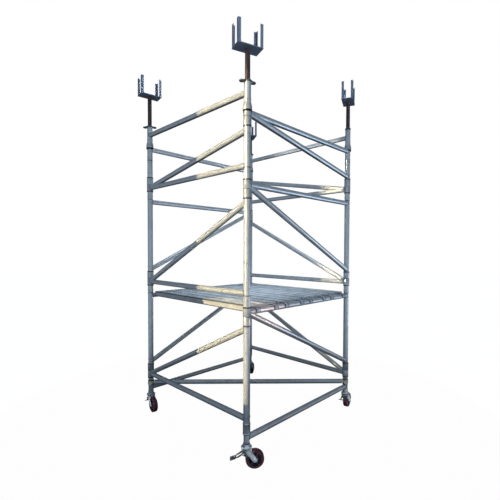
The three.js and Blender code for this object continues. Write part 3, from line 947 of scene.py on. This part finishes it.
def fork_head(corner):
    """A plate with four upright angles welded on, one at each corner."""
    low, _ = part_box(corner + "_fork_head")
    x, y = HEAD_LENGTH / 2, HEAD_WIDTH / 2
    shape = Solid()
    plate(shape, box_outline(-x, x, -y, y, 0.004), 0, HEAD_PLATE, chamfer=0.001)
    inside = PRONG_SKIN + 0.001
    foot = [(PRONG_WELD, inside), (inside, inside), (inside, PRONG_WELD)]
    bead = Solid()
    swept(bead, [Vector((*spot, HEAD_PLATE)) for spot in foot], [0.0026] * 3, sides=6)
    for turn, sx, sy in ((0, -1, -1), (90, 1, -1), (180, 1, 1), (270, -1, 1)):
        spot = posed((sx * (x - PRONG_INSET), sy * (y - PRONG_INSET), 0), turn)
        plate(shape, angle_outline(), HEAD_PLATE - 0.001, PRONG_TOP, spot, 0.0007)
        shape.join(bead, spot)
    solid = placed(shape, posed(at(corner, low.z), HEAD_YAW[corner]))
    piece(corner + "_fork_head_plate", solid, HEAD, corner + "_head", corner + "_fork_head")


# ---- casters ----
def hub_place(corner):
    """The caster's own frame: its swivel axis is Z and its wheel trails along +X."""
    return Matrix.Translation(AXIS[corner]) @ Matrix.Rotation(caster_yaw(corner), 4, "Z")


SIDE = Vector((0, 1, 0))
FLIP_XZ = Matrix(((1, 0, 0, 0), (0, 0, -1, 0), (0, 1, 0, 0), (0, 0, 0, 1)))


def sheet_xz(solid, outline, y0, y1, chamfer=0.0008, grime=0.0):
    """An outline in the XZ plane as a plate between y0 and y1."""
    plate(solid, outline, -y1, -y0, FLIP_XZ, chamfer, grime)


def caster_stem(corner):
    """The fixed top plate with its race painted dark as shade, the stem in the standard and the kingpin's
    nut.
    """
    shape = Solid()
    profile = [
        (0.0300, RACE_Z + 0.0010, 1),
        (0.0400, RACE_Z + 0.0010, 1),
        (0.0410, RACE_Z + 0.0022, 1),
        (0.0410, PLATE_TOP - 0.0060, 1),
        (PLATE_R - 0.001, PLATE_TOP - 0.0058),
        (PLATE_R, PLATE_TOP - 0.0050),
        (PLATE_R, PLATE_TOP - 0.0010),
        (PLATE_R - 0.001, PLATE_TOP),
        (0.0260, PLATE_TOP),
        (0.0240, PLATE_TOP + 0.0020),
    ]
    turned(shape, profile, Vector((0, 0, 0)))
    rod(shape, UP * (PLATE_TOP + 0.001), UP * (PLATE_TOP + 0.165), 0.0175, 0.003)
    for x, y in arc((0, 0), 0.038, 45, 315, 3):
        hexagon(shape, Vector((x, y, PLATE_TOP)), UP, 0.010, 0.0045)
    rod(shape, UP * 0.147, UP * (RACE_Z + 0.002), 0.006, sides=16)
    hexagon(shape, UP * (CROWN_Z - 0.0015), -UP, 0.019, 0.0095)
    solid = placed(shape, hub_place(corner))
    piece(corner + "_caster_stem_plate", solid, CASTER, "tower", corner + "_caster_stem")


def piece_on_swivel(corner, part, ending, shape):
    node = f"{corner}_caster_{part}"
    solid = placed(shape, hub_place(corner))
    piece(f"{node}_{ending}", solid, CASTER, corner + "_swivel", node)


def leg_outline():
    """A fork leg, from the crown down to the round end that holds the axle."""
    axle = arc((TRAIL, WHEEL_R), 0.019, 218, 390, 12)
    top = CROWN_Z + 0.007
    return [(-0.014, top), (-0.014, 0.146)] + axle + [(0.038, CROWN_Z - 0.004), (0.036, top)]


def lobe_outline():
    """The ear of the fork leg that carries the brake pedal's pivot."""
    pivot = arc(PIVOT, 0.011, 85, 250, 10)
    return [(-0.008, 0.1415), (-0.018, 0.1400)] + pivot + [(-0.014, 0.108), (0.016, 0.1040)]


def caster_fork(corner):
    """Two pressed legs with a swage down each, their ears and pivot bosses, and the crown."""
    shape = Solid()
    outer = FORK_INSIDE + FORK_SKIN
    swage = ((0.012, 0.150), (0.026, 0.122), (0.050, 0.094))
    for side in (-1, 1):
        span = sorted((side * FORK_INSIDE, side * outer))
        sheet_xz(shape, leg_outline(), *span, chamfer=0.0012)
        ear = sorted((side * FORK_INSIDE, side * (outer - 0.0015)))
        # The ear is painted dark as shade.
        sheet_xz(shape, lobe_outline(), *ear, grime=0.85)
        path = [Vector((x, side * outer, z)) for x, z in swage]
        swept(shape, path, [0.0022, 0.0030, 0.0018], sides=8)
        boss = Vector((PIVOT[0], side * outer, PIVOT[1]))
        profile = [(0.0085, -0.001), (0.0085, 0.0015), (0.006, 0.003), (0.002, 0.0035)]
        turned(shape, profile, boss, SIDE * side, sides=20)
    crown = box_outline(-0.040, 0.040, -outer, outer, 0.008, 4)
    plate(shape, crown, CROWN_Z, CROWN_Z + 0.008, chamfer=0.0015)
    # The race's lowest rows, where it sits on the crown, are painted dark as shade.
    race = [
        (0.0345, CROWN_Z + 0.0075, 1),
        (0.0390, CROWN_Z + 0.0078, 1),
        (0.0390, CROWN_Z + 0.0100, 1),
        (0.0405, CROWN_Z + 0.0102),
        (0.0405, RACE_Z - 0.0012),
        (0.0390, RACE_Z),
        (0.0330, RACE_Z),
    ]
    turned(shape, race, Vector((0, 0, 0)))
    piece_on_swivel(corner, "fork", "pressing", shape)


def caster_axle(corner):
    shape = Solid()
    face = FORK_INSIDE + FORK_SKIN + 0.0022
    ends = [Vector((TRAIL, y, WHEEL_R)) for y in (-face, face)]
    bolt(shape, *ends, across=0.019, shank=0.006)
    piece_on_swivel(corner, "axle", "bolt", shape)


def wheel(corner):
    """A rubber tyre on a cast core with six ribs a side and a grease nipple."""
    hub = Vector((TRAIL, 0, WHEEL_R))
    half = WHEEL_HALF
    tyre = Solid()
    crown = arc((WHEEL_R - 0.0075, half - 0.0075), 0.0075, 0, 90, 5)
    side = [(CORE_R + 0.0004, half)] + [(r, h) for r, h in reversed(crown)]
    profile = [(r, -h) for r, h in side] + [(r, h) for r, h in reversed(side)]
    turned(tyre, profile, hub, SIDE, hollow=True, sides=WHEEL_SIDES)
    solid = placed(tyre, hub_place(corner))
    piece(corner + "_tyre", solid, TREAD, corner + "_wheel", corner + "_wheel_tread")

    core = Solid()
    rim, web, boss = half - 0.002, 0.005, half + 0.003
    side = [
        (0.0072, boss),
        (0.0165, boss),
        (0.0180, boss - 0.0020),
        (0.0195, web + 0.0030),
        (0.0230, web),
        (CORE_R - 0.0110, web),
        (CORE_R - 0.0075, web + 0.0040),
        (CORE_R - 0.0060, rim),
        (CORE_R, rim),
    ]
    profile = [(r, -h) for r, h in side] + [(r, h) for r, h in reversed(side)]
    turned(core, profile, hub, SIDE, hollow=True, sides=WHEEL_SIDES)
    for i in range(6):
        turn = posed(hub, 60 * i, "Y")
        for way in (-1, 1):
            rib = [(0.016, 0), (CORE_R - 0.0065, 0), (CORE_R - 0.0065, 0.011), (0.016, 0.014)]
            section = [(x, way * (web + z - 0.001)) for x, z in rib]
            rings = [[turn @ Vector((x, y, z)) for x, y in section] for z in (-0.0028, 0.0028)]
            core.add(*skin(rings))
    nipple = posed(hub, 25, "Y") @ Vector((0.013, half + 0.003, 0))
    turned(core, [(0.003, -0.001), (0.003, 0.0015), (0.0015, 0.003)], nipple, SIDE, sides=10)
    solid = placed(core, hub_place(corner))
    node = corner + "_wheel_core"
    piece(node + "_casting", solid, CORE, corner + "_wheel", node, bevel=0.0006)


def brake_pedal(corner):
    """A pressed lever with two cheeks, a ribbed foot pad and the pin that it turns on."""
    shape = Solid()
    cheek = arc((0, 0), 0.0105, 20, 150, 6)
    cheek += [(-0.040, -0.0115), (-0.066, -0.0260), (-0.108, -0.0340), (-0.108, -0.0390), (-0.064, -0.0330)]
    cheek += [(-0.034, -0.0225), (-0.008, -0.0100)] + arc((0, 0), 0.0105, 240, 375, 6)
    for side in (-1, 1):
        span = sorted((side * 0.018, side * 0.0225))
        sheet_xz(shape, cheek, *span)
    pad = [(-0.058, -0.0262), (-0.066, -0.0272), (-0.106, -0.0338), (-0.1085, -0.0365)]
    pad += [(-0.1065, -0.0388), (-0.064, -0.0318), (-0.058, -0.0306)]
    sheet_xz(shape, pad, -0.026, 0.026, 0.0006)
    for i in range(5):
        x = -0.070 - 0.0075 * i
        z = -0.0279 - (0.0066 / 0.040) * (-0.066 - x) + 0.0006
        rod(shape, Vector((x, -0.022, z)), Vector((x, 0.022, z)), 0.0013, 0.0003, 8)
    rod(shape, Vector((0, -0.035, 0)), Vector((0, 0.035, 0)), 0.004, sides=14)
    rod(shape, Vector((0, -0.0185, 0)), Vector((0, 0.0185, 0)), 0.008, sides=16)
    lift = posed((PIVOT[0], 0, PIVOT[1]), PEDAL_LIFT[corner], "Y")
    solid = placed(shape, hub_place(corner) @ lift)
    piece(corner + "_brake_pedal_lever", solid, PEDAL, corner + "_pedal", corner + "_brake_pedal")


# ---- assembly ----
climbing_frames("left_front", "near", "left")
climbing_frames("right_back", "far", "right")
falling_frames("right_front", "right", "near", True)
falling_frames("left_back", "left", "far", False)
top_rail("left_front_top_rail", "near", "left")
top_rail("right_back_top_rail", "far", "right")
base_rail("right_front_base_rail", "right", "near")
base_rail("left_back_base_rail", "left", "far")
for number in range(1, 5):
    plank(number)
plan_brace("left", "right")
coupler("left_brace_coupler", "left", "right")
coupler("right_brace_coupler", "right", "left")
for name in CORNER_NAMES:
    spindle(name)
    wing_nut(name)
    fork_head(name)
    caster_stem(name)
    caster_fork(name)
    caster_axle(name)
    wheel(name)
    brake_pedal(name)


# ---- stage ----
def floor():
    """A floor that glows as pale as the background, so that it takes no shadow."""
    mesh = bpy.data.meshes.new("floor")
    corners = box_outline(-30, 30, -30, 30)
    mesh.from_pydata([(x, y, 0) for x, y in corners], [], [(0, 1, 2, 3)])
    mesh.materials.append(dull_black("floor", (0.85, 0.95), 0.985))
    made = bpy.data.objects.new("floor", mesh)
    made.visible_glossy = False
    made.visible_diffuse = False
    bpy.context.scene.collection.objects.link(made)


def flag(name, outline, only_shadow=False):
    """A black card out of the camera's sight, which keeps light off what is behind it."""
    mesh = bpy.data.meshes.new(name)
    mesh.from_pydata([tuple(p) for p in outline], [], [tuple(range(len(outline)))])
    mesh.materials.append(dull_black(name, (0.9, 1.0)))
    made = bpy.data.objects.new(name, mesh)
    made.visible_camera = False
    made.visible_diffuse = not only_shadow
    made.visible_glossy = not only_shadow
    bpy.context.scene.collection.objects.link(made)


def softbox(name, place, target, size, power, colour, spread):
    light = bpy.data.lights.new(name, "AREA")
    light.shape = "RECTANGLE"
    light.size, light.size_y = size
    light.energy = power
    light.color = colour
    light.spread = math.radians(spread)
    made = bpy.data.objects.new(name, light)
    made.location = place
    made.rotation_euler = (Vector(target) - Vector(place)).to_track_quat("-Z", "Y").to_euler()
    made.visible_camera = False
    bpy.context.scene.collection.objects.link(made)


# What shines on the metal from each height: 0 is straight down, 0.5 level and 1 straight up.
SURROUNDINGS = (
    (0.00, (0.19, 0.22, 0.25)),
    (0.25, (0.23, 0.265, 0.305)),
    (0.46, (0.235, 0.27, 0.315)),
    (0.63, (0.11, 0.135, 0.165)),
    (0.82, (0.11, 0.135, 0.165)),
    (1.00, (0.24, 0.29, 0.35)),
)


def world():
    """White to the camera. To the metal, the camera's side of the room shines the most."""
    made = bpy.data.worlds.new("studio")
    bpy.context.scene.world = made
    made.use_nodes = True
    tree = made.node_tree
    tree.nodes.clear()
    output = tree.nodes.new("ShaderNodeOutputWorld")
    mixer = tree.nodes.new("ShaderNodeMixShader")
    path = tree.nodes.new("ShaderNodeLightPath")
    seen = tree.nodes.new("ShaderNodeBackground")
    seen.inputs["Color"].default_value = (1, 1, 1, 1)
    around = tree.nodes.new("ShaderNodeBackground")
    place = tree.nodes.new("ShaderNodeTexCoord")
    split = tree.nodes.new("ShaderNodeSeparateXYZ")
    ramp = tree.nodes.new("ShaderNodeValToRGB")
    spots = ramp.color_ramp.elements
    while len(spots) < len(SURROUNDINGS):
        spots.new(0.5)
    for spot, (position, colour) in zip(spots, SURROUNDINGS):
        spot.position = position
        spot.color = (*colour, 1)
    facing = tree.nodes.new("ShaderNodeVectorMath")
    facing.operation = "DOT_PRODUCT"
    facing.inputs[1].default_value = (0.723, 0.691, 0)
    strength = tree.nodes.new("ShaderNodeMapRange")
    strength.inputs["From Min"].default_value = -1.0
    strength.inputs["From Max"].default_value = 0.6
    strength.inputs["To Min"].default_value = 2.3
    strength.inputs["To Max"].default_value = 0.3
    half = tree.nodes.new("ShaderNodeMapRange")
    half.inputs["From Min"].default_value = -1
    tree.links.new(place.outputs["Generated"], split.inputs[0])
    tree.links.new(split.outputs["Z"], half.inputs["Value"])
    tree.links.new(half.outputs["Result"], ramp.inputs["Fac"])
    tree.links.new(ramp.outputs["Color"], around.inputs["Color"])
    tree.links.new(place.outputs["Generated"], facing.inputs[0])
    tree.links.new(facing.outputs["Value"], strength.inputs["Value"])
    tree.links.new(strength.outputs["Result"], around.inputs["Strength"])
    tree.links.new(path.outputs["Is Camera Ray"], mixer.inputs["Fac"])
    tree.links.new(around.outputs[0], mixer.inputs[1])
    tree.links.new(seen.outputs[0], mixer.inputs[2])
    tree.links.new(mixer.outputs[0], output.inputs["Surface"])


def camera():
    data = bpy.data.cameras.new("camera")
    data.sensor_width = 36
    data.lens = 25.585
    data.shift_x = -0.02477
    data.shift_y = 0.02089
    made = bpy.data.objects.new("camera", data)
    bpy.context.scene.collection.objects.link(made)
    yaw, pitch, roll = (math.radians(a) for a in (46.286, -1.608, 0.232))
    ahead = Vector((math.sin(yaw) * math.cos(pitch), math.cos(yaw) * math.cos(pitch), math.sin(pitch)))
    level = Vector((math.cos(yaw), -math.sin(yaw), 0))
    upright = level.cross(ahead)
    right = level * math.cos(roll) + upright * math.sin(roll)
    up = upright * math.cos(roll) - level * math.sin(roll)
    place = AXIS["near"] + Vector((-1.9303, -2.0120, 1.7334))
    made.matrix_world = Matrix.Translation(place) @ Matrix((right, up, -ahead)).transposed().to_4x4()
    bpy.context.scene.camera = made


floor()
flag("ground_flag", circle(UP * 0.004, Vector((1, 0, 0)), Vector((0, 1, 0)), 2.6, 48))
left_shade = [(-0.95, 0), (-0.95, 0.61), (-0.07, 0.60), (-0.07, 3.6)]
left_shade += [(1.3, 3.6), (1.3, 0.25), (0.45, 0.25), (0.45, 0)]
shades = (
    ("right_flag", 0.45, box_outline(-0.75, -0.655, 0, 3.6)),
    ("left_flag", -1.05, left_shade),
    ("under_flag", -0.62, box_outline(-0.71, 0.72, 0, 1.23)),
    ("deck_flag", -0.70, box_outline(-0.72, 0.72, 1.36, 1.76)),
)
for name, x, outline in shades:
    flag(name, [(x, y, z) for y, z in outline], only_shadow=True)
world()
softbox("warm_key", (-3.776, 0.332, 2.786), (-0.75, -0.32, 1.85), (1.2, 2.6), 16, (1.0, 0.78, 0.43), 7)
softbox("cool_front", (4.2, -4.0, 0.4), (0.1, -0.75, 2.7), (2.2, 1.4), 5.4, (0.56, 0.76, 1.0), 50)
softbox("warm_front", (3.4, -4.2, 0.5), (0.1, -0.75, 1.3), (2.2, 0.8), 0.8, (1.0, 0.84, 0.80), 40)
softbox("rose_front", (1.6, -3.6, 1.3), (-0.55, -0.75, 1.16), (0.3, 0.3), 0.15, (1.0, 0.58, 0.42), 8)
softbox("near_caster_front", (-1.5, -3.0, 2.6), (-0.74, -0.80, 0.03), (0.3, 0.2), 0.20, (0.86, 0.94, 1.0), 6)
softbox("right_caster_front", (0.5, -3.6, 1.3), (0.80, -0.76, 0.07), (0.25, 0.15), 0.16, (0.90, 0.96, 1.0), 6)
softbox("left_caster_front", (-3.4, 0.1, 0.9), (-0.78, 0.70, 0.08), (0.25, 0.15), 0.07, (0.90, 0.96, 1.0), 6)
softbox("head_front", (-0.2, -4.2, 5.2), (-0.2, -0.7, 3.42), (2.6, 0.5), 0.8, (0.62, 0.78, 1.0), 9)
softbox("right_head_front", (1.2, -4.2, 5.2), (0.76, -0.76, 3.46), (0.3, 0.3), 0.2, (0.86, 0.94, 1.0), 6)
softbox("back_rail", (-0.5, -0.2, 2.35), (0.75, -0.2, 2.953), (0.95, 0.08), 0.32, (1.0, 0.97, 0.92), 10)
softbox("left_head_front", (0.2, -4.2, 5.6), (-0.76, 0.74, 3.46), (0.4, 0.3), 0.16, (0.80, 0.91, 1.0), 6)
softbox("deck_top", (0, 0, 2.3), (0, 0, 1.3), (1.2, 1.2), 3.4, (0.80, 0.92, 1.0), 70)
softbox("sky", (0, 0, 7.5), (0, 0, 0), (7, 7), 45, (0.82, 0.93, 1.0), 180)
camera()
bpy.context.scene.view_settings.view_transform = "Standard"
